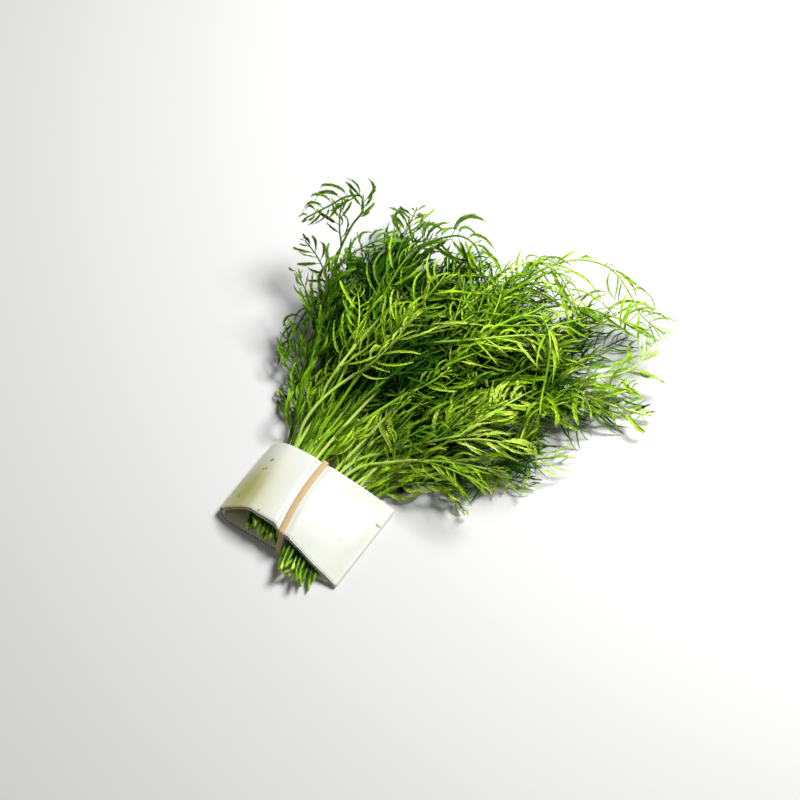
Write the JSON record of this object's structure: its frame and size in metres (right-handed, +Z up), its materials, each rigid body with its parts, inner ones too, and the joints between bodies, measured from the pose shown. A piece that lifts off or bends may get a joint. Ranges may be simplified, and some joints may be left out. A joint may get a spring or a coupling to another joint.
{
  "type": "acacia shoot bunch",
  "caption": "Bunch of feathery green acacia shoots lying flat, its stems wrapped in a pressed banana-sheath sleeve held by a rubber band.",
  "frame": {"origin": "middle of the bunch's box, on the surface that it lies on", "axes": "+X along the sleeve from the cut ends to the leafy tips, +Y to the left of it, +Z up"},
  "size_m": [0.2818, 0.2494, 0.0653],
  "materials": {
    "leaf_green": "fresh green plant, soft satin",
    "banana_sheath": "waxy white plant sheath, satin",
    "band_rubber": "matte natural rubber"
  },
  "bodies": {
    "root": {"sheath": "banana_sheath", "rubber_band": "band_rubber", "shoot_01": "leaf_green", "shoot_02": "leaf_green", "shoot_03": "leaf_green", "shoot_04": "leaf_green", "shoot_05": "leaf_green", "shoot_06": "leaf_green", "shoot_07": "leaf_green", "shoot_08": "leaf_green", "shoot_09": "leaf_green", "shoot_10": "leaf_green", "shoot_11": "leaf_green", "shoot_12": "leaf_green", "shoot_13": "leaf_green", "shoot_14": "leaf_green", "shoot_15": "leaf_green", "shoot_16": "leaf_green", "shoot_17": "leaf_green", "shoot_18": "leaf_green", "shoot_19": "leaf_green", "shoot_20": "leaf_green", "shoot_21": "leaf_green", "shoot_22": "leaf_green", "shoot_23": "leaf_green", "shoot_24": "leaf_green", "shoot_25": "leaf_green", "shoot_26": "leaf_green", "shoot_27": "leaf_green", "shoot_28": "leaf_green", "shoot_29": "leaf_green", "shoot_30": "leaf_green", "shoot_31": "leaf_green", "shoot_32": "leaf_green", "shoot_33": "leaf_green", "shoot_34": "leaf_green", "shoot_35": "leaf_green"}
  },
  "joints": []
}
